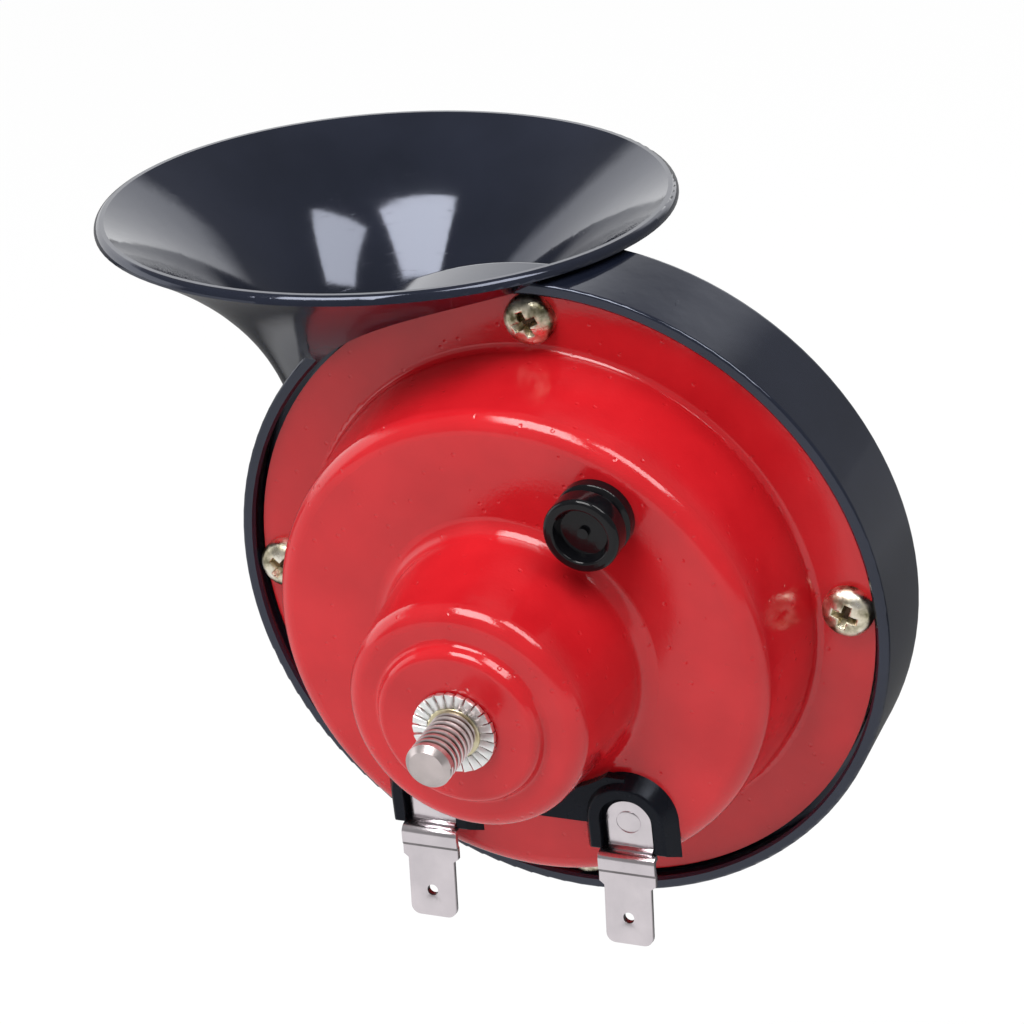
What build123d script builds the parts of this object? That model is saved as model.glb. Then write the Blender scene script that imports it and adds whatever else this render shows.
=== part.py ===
from build123d import *
import math
import os

# Electromagnetic snail horn for a vehicle, in millimetres.
# The mounting stud lies on the Y axis and points to -Y, the bell opens upwards.
# The origin is where a bracket seats: the outer plane of the toothed washer.
# Stations along Y are named ..._y and grow from the stud towards the back.

# ---- driving dimensions -------------------------------------------------
sheet = 0.9               # steel of the cover
washer_height = 1.2       # toothed washer, over its twisted teeth
pad_rise = 1.8            # raised pad on the boss, under the washer
boss_rise = 16.95         # boss above the drum face
drum_rise = 15.7          # drum face above the flange
stud_length = 7.9         # stud in front of the seat
stud_radius = 2.95        # M6 over its thread
pad_margin = 5.0          # boss face round the pad
boss_radius = 15.4
drum_radius = 32.5
flange_radius = 41.7
draw_draft = 1.7          # boss and drum are this much larger at their foot
screw_angles = (3, 90, 180, 270)
screw_shank = 1.75
screw_head = 3.3
head_height = 2.4
screw_length = 8.0        # under the head

body_draft = 0.4          # less at the back edge of the side wall
side_depth = 12.4         # side wall behind the flange face
lip_rise = 1.65           # lip in front of the flange face
lip_wall = 1.7
flange_gap = 0.6          # round the flange, in its pocket
wall = 1.8                # moulded walls
gasket = 0.4
diaphragm_sheet = 0.3
ledge_width = 6.3         # clamped ring of the diaphragm
chamber_depth = 1.2       # between rear gasket and sound plate
plate_thickness = 1.8     # sound plate
throat_hole = 4.0         # radius of its middle hole
throat_hub = 12.5         # hub behind it, where the duct starts
throat_depth = 8.2        # well inside the hub

duct_exit_radius = 11.7   # inside the duct where it leaves the spiral
duct_start_radius = 3.4
duct_edge = 2.75          # the duct stays this far inside the side wall
spiral_turns = 1.2
duct_sink = 0.93          # duct centre behind the plate, in duct radii
duct_wall_start = 0.25    # where the duct leaves the hub, along its spiral
duct_start = 0.28         # the same for its inside
neck_height = 5.0         # end of the spiral above the disc axis
bell_length = 39.0
bell_radius = 37.6
bell_tilt = 5.8           # the bell leans back, in degrees
bell_flare = 2.8          # exponent of the flare
rim_edge = 1.2            # widest point of the bell below its rim

coil_build = 8.4          # boss wall, bobbin and winding round the core
core_length = 15.5
pole_gap = 0.9            # armature to core, at rest
collar_width = 3.0        # armature collar that lifts the breaker
rivet_radius = 2.5        # armature shank through the diaphragm
pole_plate = 1.6
bobbin_wall = 1.0
lead_radius = 0.4
fit = 0.2                 # plain clearance between parts that do not move
hole_fit = 0.05           # play of a shank in its hole

strip_middle = 17.0       # breaker strips from the disc axis
strip_width = 7.0
strip_span = (-21.5, 4.0)
stack_span = (-21.5, -10.5)
stack_rivet = 1.2
leaf_sheet = 0.35
arm_sheet = 0.8
contact_rise = 0.6

adjuster_angle = 58.0
adjuster_shank = 1.5
nut_radius = 2.6
cap_radius = 4.9
cap_length = 5.7

blade_pitch = 13.5        # terminal from the middle
blade_width = 6.3
blade_sheet = 0.8
blade_neck = 5.6          # behind the round head of the blade
blade_seat = 0.5          # blade back above the drum face
blade_step = 1.8          # the tab stands this far in front
blade_shoulder = 8.0      # wide head of the tab
shoulder_height = 3.4
tab_length = 10.9
tab_lean = 9.0            # degrees
post_rise = 2.3           # terminal arches above the drum face
arch_front = 5.0          # half width of an arch at its front
arch_base = 6.3           # the same on the drum
bridge_rise = 1.4         # bridge between the arches, above the drum face
spigot_radius = 2.6       # carrier bush through the cover
rivet_shank = 1.4

# ---- places that follow from them -----------------------------------------
shoulder_radius = stud_radius + 0.55     # core inside washer and pad
washer_radius = shoulder_radius + 1.85
pad_radius = boss_radius - pad_margin
boss_foot = boss_radius + draw_draft
drum_foot = drum_radius + draw_draft
screw_circle = flange_radius - screw_head + 0.2
pocket_radius = flange_radius + flange_gap
body_radius = pocket_radius + lip_wall   # at the front lip
chamber_radius = pocket_radius - ledge_width
spiral_radius = body_radius - duct_edge - wall - duct_exit_radius
adjuster_radius = (boss_foot + drum_radius) / 2 - 0.3
pole_plate_radius = drum_radius - sheet - 2.3
core_radius = boss_radius - coil_build
plunger_radius = core_radius - 0.5
collar_radius = plunger_radius + collar_width
hub_radius = collar_radius - 1.5         # armature where it sits on the diaphragm
bobbin_radius = boss_radius - sheet - 0.8
bobbin_bore = core_radius + fit
coil_exit_radius = bobbin_radius - 2.2
stack_rivets = ((strip_middle, -18.8), (strip_middle, -13.2))
arch_height = -(boss_foot + 4.8)         # centre of the round arch tops
rivet_height = arch_height - 0.3
insulator_height = rivet_height + 1.1    # middle of the fibre strip inside the drum
pole_chord = insulator_height + 4.6      # straight edge of the pole plate above it
bridge_bottom = arch_height - 1.0
bend_height = arch_height - 4.4          # first bend of a blade
post_bottom = arch_height - 5.4

# stations, front to back
pad_y = washer_height
boss_y = pad_y + pad_rise
drum_y = boss_y + boss_rise
flange_y = drum_y + drum_rise
stake_y = 0.3                            # staked collar of the core
washer_ring_y = stake_y + 0.2
lip_y = flange_y - lip_rise
front_gasket_y = flange_y + sheet
diaphragm_y = front_gasket_y + gasket
rear_gasket_y = diaphragm_y + diaphragm_sheet
ledge_y = rear_gasket_y + gasket
plate_y = ledge_y + chamber_depth
floor_y = plate_y + plate_thickness
floor_back_y = floor_y + wall - 0.2
skirt_y = flange_y + side_depth
tip_y = flange_y + screw_length
bobbin_y = boss_y + sheet + 0.5
core_end_y = pad_y + sheet + core_length
armature_y = core_end_y + pole_gap
pole_y = drum_y + sheet
bobbin_end_y = pole_y - 0.15
pole_back_y = pole_y + pole_plate
leaf_y = pole_back_y + 0.8
arm_y = leaf_y + leaf_sheet + 2 * contact_rise
clamp_y = arm_y + arm_sheet + 0.6
stack_head_y = clamp_y + 1.0
winding_end_y = bobbin_end_y - bobbin_wall - hole_fit
collar_y = leaf_y + leaf_sheet + 0.2
collar_end_y = collar_y + 2.0
peen_y = rear_gasket_y + 0.8             # washer behind the diaphragm ends here
lug_y = pole_y + 1.0
lug_end_y = lug_y + 0.6

# ---- shared helpers ---------------------------------------------------------


def turned(points, corners=None):
    """Solid of revolution about Y from (radius, station) points."""
    line = Polyline(*points, close=True)
    face = make_face(line)
    for (r, y), radius in (corners or {}).items():
        near = [v for v in face.vertices() if abs(v.X - r) < 0.01 and abs(v.Y - y) < 0.01]
        face = fillet(near, radius)
    return revolve(face, Axis.Y)


def rod(radius, y_from, y_to, x=0.0, z=0.0):
    """Cylinder along Y."""
    plane = Plane(origin=(x, y_from, z), x_dir=(1, 0, 0), z_dir=(0, 1, 0))
    return extrude(plane * Circle(radius), y_to - y_from)


def ring(outer, inner, y_from, y_to, x=0.0, z=0.0):
    return rod(outer, y_from, y_to, x, z) - rod(inner, y_from, y_to, x, z)


def sheet_of(sketch, y_from, y_to):
    """Flat piece: a sketch in (x, z), given thickness along Y."""
    plane = Plane(origin=(0, y_from, 0), x_dir=(1, 0, 0), z_dir=(0, -1, 0))
    return extrude(plane * sketch, -(y_to - y_from))


def on_circle(radius, angle):
    """Point (x, z) at an angle in degrees from +X towards +Z."""
    return radius * math.cos(math.radians(angle)), radius * math.sin(math.radians(angle))


def evenly(count, start=0.0):
    return [start + 360.0 * i / count for i in range(count)]


screw_places = [on_circle(screw_circle, angle) for angle in screw_angles]
coil_exits = [on_circle(coil_exit_radius, angle) for angle in (235, 325)]
blade_places = (-blade_pitch, blade_pitch)
adjuster_x, adjuster_z = on_circle(adjuster_radius, adjuster_angle)


# ---- trumpet body -------------------------------------------------------------
tilt = math.radians(bell_tilt)
bell_axis = Vector(0, math.sin(tilt), math.cos(tilt))
neck_y = floor_y + duct_sink * duct_exit_radius
neck = Vector(-spiral_radius, neck_y, neck_height)
mouth = neck + bell_axis * bell_length
bell_plane = Plane(origin=mouth, x_dir=(1, 0, 0), z_dir=Vector(1, 0, 0).cross(bell_axis))


def flare_radius(depth):
    rise = 1 - (depth - rim_edge) / (bell_length - rim_edge)
    neck_outer = duct_exit_radius + wall
    return neck_outer + (bell_radius - neck_outer) * max(rise, 0) ** bell_flare


def flare_points(offset):
    """Outer flare, or its copy moved towards the axis by offset."""
    points = []
    for i in range(13):
        depth = rim_edge + (bell_length - rim_edge) * (i / 12) ** 1.5
        slope = (flare_radius(depth + 0.01) - flare_radius(depth)) / -0.01
        size = math.hypot(1, slope)
        points.append((flare_radius(depth) - offset / size, -depth + offset * slope / size))
    return points


def bell_solid(offset, top):
    points = flare_points(offset)
    curve = Spline(*points)
    end = points[-1]
    start = points[0]
    if offset:
        rim = Line(start, (start[0], top))
    else:
        rim = ThreePointArc(start, (start[0] - 0.15, -0.45), (start[0] - 0.75, top))
    far = rim @ 1
    rest = Polyline(far, (0, top), (0, end[1]), end)
    face = make_face([curve, rim, rest])
    return revolve(bell_plane * face, Axis(mouth, bell_axis))


def duct_section(t, extra):
    """Circle across the duct at t, from 0 at the throat to 1 at its exit."""
    angle = math.pi + 2 * math.pi * spiral_turns * (1 - t)
    out = spiral_radius * (1 - (1 - t) ** 2)
    radius = duct_start_radius + (duct_exit_radius - duct_start_radius) * t ** 1.3
    centre = Vector(
        out * math.cos(angle), floor_y + duct_sink * radius, out * math.sin(angle)
    )
    return centre, radius + extra


def duct_solid(t_from, steps, extra):
    faces = []
    for i in range(steps + 1):
        t = t_from + (1 - t_from) * i / steps
        centre, radius = duct_section(t, extra)
        ahead = duct_section(t + 0.005, extra)[0] - duct_section(t - 0.005, extra)[0]
        if i == steps:
            ahead = bell_axis
        faces.append(Plane(origin=centre, z_dir=ahead) * Circle(radius))
    faces.append(Plane(origin=neck, z_dir=bell_axis) * Circle(duct_exit_radius + extra))
    return loft(faces)


def trumpet_body():
    back_radius = body_radius - body_draft
    inner_radius = back_radius - wall
    post_radius = 3.9
    post_end_y = flange_y + 10.5
    rib_from = 8.0
    rib_thickness = 1.6
    rib_rise = 3.4
    hub_round = 3.0
    duct_steps = 9
    disc = turned(
        [
            (0, lip_y),
            (body_radius, lip_y),
            (back_radius, skirt_y),
            (inner_radius, skirt_y),
            (inner_radius, floor_back_y),
            (0, floor_back_y),
        ],
        {(back_radius, skirt_y): 0.8, (body_radius, lip_y): 0.4},
    )
    lead_in = 0.35
    disc -= turned(
        [
            (0, lip_y),
            (pocket_radius + lead_in, lip_y),
            (pocket_radius, lip_y + lead_in),
            (pocket_radius, ledge_y),
            (0, ledge_y),
        ]
    )
    hub_end = floor_y + throat_depth + wall
    hub = turned(
        [(0, floor_y), (throat_hub, floor_y), (throat_hub, hub_end), (0, hub_end)],
        {(throat_hub, hub_end): hub_round},
    )
    posts = [rod(post_radius, floor_y, post_end_y, x, z) for x, z in screw_places]
    rib_length = inner_radius - rib_from
    rib = Pos(rib_from + rib_length / 2, 0) * Rectangle(rib_length, rib_thickness)
    ribs = [
        sheet_of(Rot(0, 0, angle) * rib, floor_y, floor_back_y + rib_rise)
        for angle in evenly(8, 22.5)
    ]
    body = disc + hub + posts + ribs
    body += duct_solid(duct_wall_start, duct_steps, wall)
    start_centre, start_radius = duct_section(duct_wall_start, wall - 0.1)
    body += Pos(*start_centre) * Sphere(start_radius)
    body += bell_solid(0, 0)
    before = -20  # anywhere in front of the housing
    house = turned(
        [(0, before), (body_radius, before), (body_radius, floor_y), (0, floor_y)],
        {(body_radius, floor_y): 1.2},
    )
    well = rod(throat_hub - wall, floor_y, floor_y + throat_depth)
    void = duct_solid(duct_start, duct_steps, 0) + well + bell_solid(wall - 0.1, 3)
    body -= void - house
    pilot = screw_shank + hole_fit
    body += [rod(pilot + 1.25, floor_y, tip_y + 1.0, x, z) for x, z in screw_places]
    body -= rod(pocket_radius, before, ledge_y)
    body -= rod(chamber_radius, ledge_y, plate_y)
    body -= rod(chamber_radius + fit, plate_y, floor_y)
    drill = turned(
        [
            (0, ledge_y),
            (pilot, ledge_y),
            (pilot, tip_y - 0.8),
            (0.6, tip_y + 0.2),
            (0, tip_y + 0.2),
        ]
    )
    for x, z in screw_places:
        body -= Pos(x, 0, z) * drill
    return body


# ---- clamped stack: sound plate, gaskets, diaphragm ------------------------------
def screw_holes(part, y_from, y_to):
    for x, z in screw_places:
        part -= rod(screw_shank + 0.35, y_from, y_to, x, z)
    return part


def sound_plate():
    return turned(
        [
            (throat_hole, plate_y),
            (chamber_radius, plate_y),
            (chamber_radius, floor_y),
            (throat_hole, floor_y),
        ],
        {(throat_hole, plate_y): 0.6},
    )


def gasket_ring(y_from):
    y_to = y_from + gasket
    return screw_holes(ring(flange_radius, chamber_radius + fit, y_from, y_to), y_from, y_to)


def diaphragm():
    """Thin spring-steel disc with one rolled stiffening wave."""
    middle = diaphragm_y + diaphragm_sheet / 2
    wave_from = collar_radius + 7.5
    wave_middle = wave_from + 2
    wave_to = wave_from + 4
    wave_rise = 0.6
    line = Polyline((rivet_radius + hole_fit, middle), (wave_from, middle))
    line += Spline(
        (wave_from, middle),
        (wave_middle, middle - wave_rise),
        (wave_to, middle),
        tangents=[(1, 0), (1, 0)],
    )
    line += Polyline((wave_to, middle), (flange_radius - fit, middle))
    disc = revolve(trace(line, line_width=diaphragm_sheet), Axis.Y)
    return screw_holes(disc, diaphragm_y - 1, rear_gasket_y + 1)


# ---- cover -------------------------------------------------------------------------
def cover():
    """Stamped steel: flange, drum, boss and pad in one sheet."""
    half = sheet / 2
    # front radius, foot radius, front, back, outer radius of the edge, of the foot
    steps = [
        (pad_radius, pad_radius + 0.8, pad_y, boss_y, 1.2, 0.8),
        (boss_radius, boss_foot, boss_y, drum_y, 2.4, 2.2),
        (drum_radius, drum_foot, drum_y, flange_y, 2.6, 1.0),
    ]
    points = [(shoulder_radius + hole_fit, pad_y + half)]
    radii = []
    for radius, foot_radius, front, back, edge, foot in steps:
        points += [(radius - half, front + half), (foot_radius - half, back + half)]
        radii += [edge - half, foot + half]
    points.append((flange_radius, flange_y + half))
    face = trace(FilletPolyline(*points, radius=radii), line_width=sheet)
    shell = revolve(face, Axis.Y)
    shell = screw_holes(shell, flange_y - 1, flange_y + 2)
    for x in blade_places:
        shell -= rod(spigot_radius + 0.1, drum_y - 1, drum_y + 2, x, rivet_height)
    shell -= rod(nut_radius + hole_fit, drum_y - 1, drum_y + 2, adjuster_x, adjuster_z)
    return shell


def cover_screws():
    """Four pan-head screws with a cross recess."""
    cross_length = 4.0
    cross_width = 0.85
    cross_depth = 1.3
    slot = Pos(0, cross_depth / 2 - head_height, 0) * Box(cross_length, cross_depth, cross_width)
    screws = []
    for (x, z), turn in zip(screw_places, (20, 65, 40, 10)):
        screw = turned(
            [
                (0, -head_height),
                (0.65 * screw_head, 0.15 - head_height),
                (0.93 * screw_head, -0.65 * head_height),
                (screw_head, -0.25 * head_height),
                (screw_head, 0),
                (screw_shank, 0),
                (screw_shank, screw_length - 0.8),
                (0.3 * screw_shank, screw_length),
                (0, screw_length),
            ]
        )
        screw -= [Rot(0, turn + quarter, 0) * slot for quarter in (0, 90)]
        screws.append(Pos(x, flange_y, z) * screw)
    return screws


# ---- stud, washer and magnet -----------------------------------------------------------
def core_stud():
    """Pole core turned in one piece with the mounting stud."""
    chamfer = 0.7
    collar = shoulder_radius + 0.4
    inner = pad_y + sheet
    return turned(
        [
            (0, -stud_length),
            (stud_radius - chamfer, -stud_length),
            (stud_radius, chamfer - stud_length),
            (stud_radius, stake_y),
            (collar, stake_y),
            (collar, washer_ring_y),
            (shoulder_radius, washer_ring_y),
            (shoulder_radius, inner),
            (core_radius, inner),
            (core_radius, core_end_y),
            (0, core_end_y),
        ],
        {(collar, stake_y): 0.15, (core_radius, core_end_y): 0.4},
    )


def lock_washer():
    """Flat ring with twisted outer teeth that bite the cover and the bracket."""
    lean = 45
    thick = 0.45
    tooth_length = 1.2
    width = (washer_height - thick * math.cos(math.radians(lean))) / math.sin(math.radians(lean))
    washer = ring(washer_radius - 0.8, shoulder_radius + 0.1, washer_ring_y, washer_height)
    tooth = Rot(lean, 0, 0) * Box(tooth_length, thick, width)
    tooth = Pos(washer_radius - tooth_length / 2, washer_height / 2, 0) * tooth
    return washer + [Rot(0, angle, 0) * tooth for angle in evenly(24)]


def coil_bobbin():
    tube = bobbin_bore + bobbin_wall
    bobbin = turned(
        [
            (bobbin_bore, bobbin_y),
            (bobbin_radius, bobbin_y),
            (bobbin_radius, bobbin_y + bobbin_wall),
            (tube, bobbin_y + bobbin_wall),
            (tube, bobbin_end_y - bobbin_wall),
            (bobbin_radius, bobbin_end_y - bobbin_wall),
            (bobbin_radius, bobbin_end_y),
            (bobbin_bore, bobbin_end_y),
        ]
    )
    for x, z in coil_exits:
        bobbin -= rod(lead_radius + 0.4, bobbin_end_y - 1.5, bobbin_end_y + 0.5, x, z)
    return bobbin


def coil_winding():
    tube = bobbin_bore + bobbin_wall + hole_fit
    front = bobbin_y + bobbin_wall + hole_fit
    return ring(bobbin_radius - 0.9, tube, front, winding_end_y)


def pole_plate_part():
    """Steel plate welded inside the drum; it closes the magnet and carries the breaker."""
    front, back = pole_y - 1, pole_back_y + 1
    plate = rod(pole_plate_radius, pole_y, pole_back_y)
    plate -= rod(plunger_radius + 0.9, front, back)
    below = 2 * pole_plate_radius
    plate -= Pos(0, pole_y, pole_chord - below / 2) * Box(below, 10, below)
    plate -= rod(nut_radius + 1.2, front, back, adjuster_x, adjuster_z)
    for x, z in coil_exits:
        plate -= rod(lead_radius + 0.8, front, back, x, z)
    for u, v in stack_rivets:
        x, z = breaker_point(u, v)
        plate -= rod(stack_rivet + hole_fit, front, back, x, z)
    return plate


def armature():
    """Plunger, collar and shank in one turned piece, peened over the diaphragm."""
    peened = rivet_radius + 0.9
    return turned(
        [
            (0, armature_y),
            (plunger_radius, armature_y),
            (plunger_radius, collar_y),
            (collar_radius, collar_y),
            (collar_radius, collar_end_y),
            (hub_radius, collar_end_y),
            (hub_radius, diaphragm_y),
            (rivet_radius, diaphragm_y),
            (rivet_radius, peen_y),
            (peened, peen_y),
            (peened, peen_y + 0.4),
            (rivet_radius, peen_y + 0.65),
            (0, peen_y + 0.65),
        ],
        {(plunger_radius, armature_y): 0.5},
    )


def diaphragm_washer():
    return ring(rivet_radius + 2.0, rivet_radius + hole_fit, rear_gasket_y, peen_y)


# ---- contact breaker -----------------------------------------------------------------------
def breaker_point(u, v):
    """u runs from the disc axis to the adjusting screw, v across it."""
    a = math.radians(adjuster_angle)
    return u * math.cos(a) - v * math.sin(a), u * math.sin(a) + v * math.cos(a)


def strip_shape(u_from, u_to, v_from, v_to, corner):
    """Rounded rectangle in breaker coordinates."""
    shape = RectangleRounded(u_to - u_from, v_to - v_from, corner)
    return Pos((u_from + u_to) / 2, (v_from + v_to) / 2) * shape


def breaker_sheet(sketch, y_from, y_to, hole):
    """Flat breaker piece with holes for the two stack rivets."""
    part = sheet_of(Rot(0, 0, adjuster_angle) * sketch, y_from, y_to)
    for u, v in stack_rivets:
        x, z = breaker_point(u, v)
        part -= rod(hole, y_from - 1, y_to + 1, x, z)
    return part


strip_low = strip_middle - strip_width / 2
strip_high = strip_middle + strip_width / 2
bush_radius = stack_rivet + 0.7


def breaker_block(y_from, y_to):
    block = strip_shape(strip_low, strip_high, *stack_span, 1)
    return breaker_sheet(block, y_from, y_to, stack_rivet + hole_fit)


def breaker_insulators():
    """Three fibre plates and two bushes that keep both contact strips off the frame."""
    pieces = [
        breaker_block(pole_back_y, leaf_y),
        breaker_block(leaf_y + leaf_sheet, arm_y),
        breaker_block(arm_y + arm_sheet, clamp_y),
    ]
    for y_from, y_to in ((leaf_y, leaf_y + leaf_sheet), (arm_y, arm_y + arm_sheet)):
        for u, v in stack_rivets:
            x, z = breaker_point(u, v)
            pieces.append(ring(bush_radius, stack_rivet + hole_fit, y_from, y_to, x, z))
    return pieces


def breaker_clamp():
    return breaker_block(clamp_y, stack_head_y)


def breaker_spring():
    """Leaf with a tongue over the armature collar and a lug for its lead."""
    leaf = strip_shape(strip_low, strip_high, *strip_span, 1.5)
    leaf += strip_shape(plunger_radius + 1.1, strip_middle, -3, 3, 1.5)
    lug_low = stack_span[0] + 0.4
    leaf += strip_shape(strip_middle - 9, strip_middle - 1, lug_low, lug_low + 4, 1.5)
    return breaker_sheet(leaf, leaf_y, leaf_y + leaf_sheet, bush_radius + hole_fit)


def contact_arm():
    """Stiff strip with an ear under the adjusting screw and a lug for its lead."""
    arm = strip_shape(strip_low, strip_high, *strip_span, 1.5)
    arm += strip_shape(strip_middle, adjuster_radius + 3.5, -3.5, 3.5, 2)
    lug_low = stack_span[0] - 2.6
    arm += strip_shape(strip_middle - 2, strip_middle + 2, lug_low, lug_low + 4, 1.2)
    return breaker_sheet(arm, arm_y, arm_y + arm_sheet, bush_radius + hole_fit)


def contact_point(y_from):
    x, z = breaker_point(strip_middle, 0)
    return rod(1.5, y_from, y_from + contact_rise, x, z)


def breaker_rivets():
    rivets = []
    for u, v in stack_rivets:
        x, z = breaker_point(u, v)
        shank = rod(stack_rivet, pole_y, stack_head_y, x, z)
        rivets.append(shank + rod(stack_rivet + 0.9, stack_head_y, stack_head_y + 0.8, x, z))
    return rivets


# ---- adjusting screw under its cap -------------------------------------------------------------
def adjuster_nut():
    flange_end_y = pole_y + 1.2
    nut = turned(
        [
            (adjuster_shank + hole_fit, drum_y),
            (nut_radius, drum_y),
            (nut_radius, pole_y),
            (nut_radius + 0.8, pole_y),
            (nut_radius + 0.8, flange_end_y),
            (adjuster_shank + hole_fit, flange_end_y),
        ]
    )
    return Pos(adjuster_x, 0, adjuster_z) * nut


def adjuster_screw():
    head_y = drum_y - 3.4
    head_end_y = head_y + 1.8
    screw = rod(2.3, head_y, head_end_y) + rod(adjuster_shank, head_end_y, arm_y)
    screw -= Pos(0, head_y, 0) * (Rot(0, 30, 0) * Box(6, 1.4, 0.7))
    return Pos(adjuster_x, 0, adjuster_z) * screw


def adjuster_cap():
    """Rubber spool that plugs the adjusting hole."""
    front = drum_y - cap_length
    waist = cap_radius - 0.7
    dish_edge = cap_radius - 1.3
    dish_foot = cap_radius - 1.9
    dish_y = front + 1.4
    hollow = 2.8
    hollow_y = front + 2.1
    cap = turned(
        [
            (0, dish_y - 0.5),
            (0.7, dish_y - 0.5),
            (0.7, dish_y),
            (dish_foot, dish_y),
            (dish_edge, front),
            (cap_radius, front),
            (cap_radius, front + 2.8),
            (waist, front + 3.2),
            (waist, front + 3.8),
            (cap_radius, front + 4.2),
            (cap_radius, drum_y),
            (hollow, drum_y),
            (hollow, hollow_y),
            (0, hollow_y),
        ],
        {(cap_radius, front): 0.6, (cap_radius, front + 4.2): 0.25, (dish_edge, front): 0.3},
    )
    return Pos(adjuster_x, 0, adjuster_z) * cap


# ---- terminals --------------------------------------------------------------------------------------
blade_slot = blade_width / 2 + 0.45


def arch(half, bottom):
    """Straight sides, round top."""
    legs = Pos(0, (arch_height + bottom) / 2) * Rectangle(2 * half, arch_height - bottom)
    return Pos(0, arch_height) * Circle(half) + legs


def arch_at(x, half, bottom, y):
    plane = Plane(origin=(x, y, 0), x_dir=(1, 0, 0), z_dir=(0, -1, 0))
    return plane * arch(half, bottom)


def terminal_carrier():
    """Two sloping arches on a bridge below the boss, with bushes through the cover."""
    front = drum_y - post_rise
    arch_draft = math.degrees(math.atan((arch_base - arch_front) / post_rise))
    bridge_top = arch_height + 6
    bridge = Pos(0, (bridge_bottom + bridge_top) / 2) * Rectangle(
        2 * blade_pitch, bridge_top - bridge_bottom
    )
    bridge -= Circle(boss_foot + 2.2)
    carrier = sheet_of(bridge, drum_y - bridge_rise, drum_y)
    for x in blade_places:
        post = extrude(arch_at(x, arch_base, post_bottom, drum_y), post_rise, taper=arch_draft)
        crown = post.faces().sort_by(Axis.Y)[0].edges()
        carrier += fillet(crown, 0.4)
    for x in blade_places:
        slot = sheet_of(Pos(x, 0) * arch(blade_slot, post_bottom - 2), front - 1, drum_y - blade_seat)
        carrier -= slot
        carrier += rod(spigot_radius, drum_y, lug_y, x, rivet_height)
    for x in blade_places:
        carrier -= rod(rivet_shank + hole_fit, front, lug_y + 1, x, rivet_height)
    return carrier


def terminal_blade(x):
    """Bent tab: round-headed foot, step forward, shoulders and leaning plug blade."""
    half = blade_sheet / 2
    foot_y = drum_y - blade_seat - half
    tab_y = foot_y - blade_step
    shoulder_z = bend_height - 1.15
    bottom_z = shoulder_z - tab_length
    bottom_y = tab_y - tab_length * math.tan(math.radians(tab_lean))
    line = FilletPolyline(
        (foot_y, arch_height + 5),
        (foot_y, bend_height),
        (tab_y, shoulder_z),
        (bottom_y, bottom_z),
        radius=0.9,
    )
    strip = extrude(Plane.YZ * trace(line, line_width=blade_sheet), blade_shoulder / 2, both=True)
    width = blade_width / 2
    wide = blade_shoulder / 2
    neck = blade_neck / 2
    tab_z = shoulder_z - shoulder_height
    outline = Polyline(
        (-width, bottom_z - 1),
        (width, bottom_z - 1),
        (width, tab_z - (wide - width)),
        (wide, tab_z),
        (wide, shoulder_z + 0.2),
        (width, shoulder_z + 0.2),
        (width, bend_height + 0.3),
        (neck, bend_height + 0.9),
        (neck, arch_height),
        (-neck, arch_height),
        (-neck, bend_height + 0.9),
        (-width, bend_height + 0.3),
        (-width, shoulder_z + 0.2),
        (-wide, shoulder_z + 0.2),
        (-wide, tab_z),
        (-width, tab_z - (wide - width)),
        close=True,
    )
    outline = make_face(outline) + Pos(0, rivet_height) * Circle(width)
    blade = strip & sheet_of(outline, bottom_y - 2, drum_y)
    ends = blade.edges().filter_by(Axis.Y, tolerance=12).group_by(Axis.Z)[0]
    blade = fillet(ends, 1.3)
    blade -= rod(0.8, bottom_y - 2, tab_y + 2, 0, bottom_z + 3.7)
    blade -= rod(rivet_shank + hole_fit, foot_y - 1, drum_y, 0, rivet_height)
    return Pos(x, 0, 0) * blade


def terminal_rivets():
    """Tubular rivets with a low head on the blade and a set head on the lug."""
    face_y = drum_y - blade_seat - blade_sheet
    head = 2.1
    rivets = []
    for x in blade_places:
        rivet = turned(
            [
                (0, face_y - 0.35),
                (head - 0.5, face_y - 0.3),
                (head, face_y),
                (rivet_shank, face_y),
                (rivet_shank, lug_end_y),
                (head, lug_end_y),
                (head - 0.5, lug_end_y + 0.7),
                (0, lug_end_y + 0.7),
            ]
        )
        rivets.append(Pos(x, 0, rivet_height) * rivet)
    return rivets


def terminal_insulator():
    """Fibre strip inside the drum, under both terminal lugs."""
    strip = Pos(0, insulator_height) * RectangleRounded(2 * blade_pitch + 7.8, 7.4, 2)
    plate = sheet_of(strip, pole_y, lug_y)
    for x in blade_places:
        plate -= rod(spigot_radius + 0.1, pole_y - 1, lug_y + 1, x, rivet_height)
    return plate


def terminal_lug(x):
    side = math.copysign(1, x)
    outline = Pos(x, rivet_height) * Circle(2.7)
    outline += Pos(x - 3 * side, rivet_height) * RectangleRounded(6, 2.6, 0.6)
    lug = sheet_of(outline, lug_y, lug_end_y)
    return lug - rod(rivet_shank + hole_fit, lug_y - 1, lug_end_y + 1, x, rivet_height)


# ---- leads inside the drum ---------------------------------------------------------------------------
def lead(points):
    path = FilletPolyline(*points, radius=2.0)
    section = Plane(origin=path @ 0, z_dir=path % 0) * Circle(lead_radius)
    return sweep(section, path)


def lead_over(start, end, lift_y):
    """Enamelled wire: straight back from one joint, across at lift_y, forward to the other."""
    (x, y, z), (end_x, end_y, end_z) = start, end
    return lead([(x, y, z), (x, lift_y, z), (end_x, lift_y, end_z), (end_x, end_y, end_z)])


def coil_end(exit_place):
    x, z = exit_place
    return x, winding_end_y, z


def lug_end(x):
    return x, lug_end_y, rivet_height


leaf_x, leaf_z = breaker_point(strip_middle - 7.5, stack_span[0] + 2.4)
arm_x, arm_z = breaker_point(strip_middle, stack_span[0] - 1.2)
leaf_joint = (leaf_x, leaf_y + leaf_sheet, leaf_z)
arm_joint = (arm_x, arm_y + arm_sheet, arm_z)

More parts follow.
